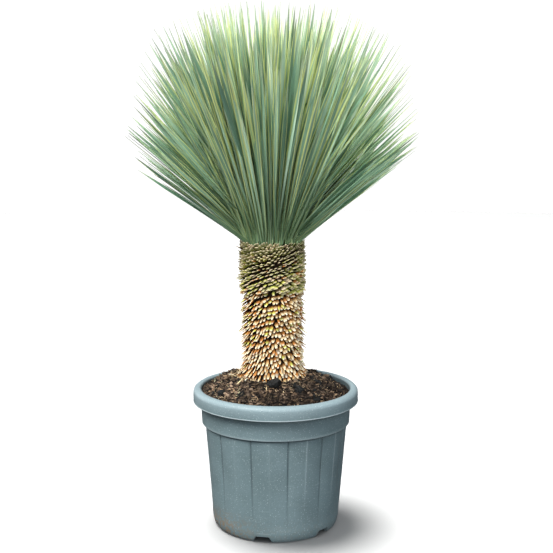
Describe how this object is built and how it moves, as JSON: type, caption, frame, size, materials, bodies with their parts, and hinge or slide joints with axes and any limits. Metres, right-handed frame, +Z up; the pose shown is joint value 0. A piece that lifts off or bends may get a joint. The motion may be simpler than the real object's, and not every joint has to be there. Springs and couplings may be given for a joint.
{
  "type": "potted yucca",
  "caption": "Tree-like yucca in a ribbed nursery pot: a ball of stiff blue-green leaves on a stout trunk covered in dry leaf bases, standing in soil.",
  "frame": {"origin": "middle of the pot's foot, on the surface it stands on", "axes": "+Z up along the trunk, -Y towards the front that the picture shows, +X to the right"},
  "size_m": [0.6155, 0.6124, 1.1232],
  "materials": {
    "pot_plastic": "matt blue-grey moulded polypropylene with pale speckle",
    "potting_soil": "loose dark brown peat and bark mix",
    "dry_leaf_bases": "dry tan leaf bases with orange-brown roots",
    "cut_leaf_stubs": "dark olive cut stubs with pale tips",
    "yucca_leaf": "waxy blue-green leaf with yellow-green edges",
    "dark_clod": "matt black-brown clod"
  },
  "bodies": {
    "root": {"pot": "pot_plastic", "soil": "potting_soil", "lower_trunk": "dry_leaf_bases", "upper_trunk": "cut_leaf_stubs", "leaf_crown": "yucca_leaf", "clod_1": "dark_clod", "clod_2": "dark_clod", "clod_3": "dark_clod", "clod_4": "dark_clod", "clod_5": "dark_clod"}
  },
  "joints": []
}
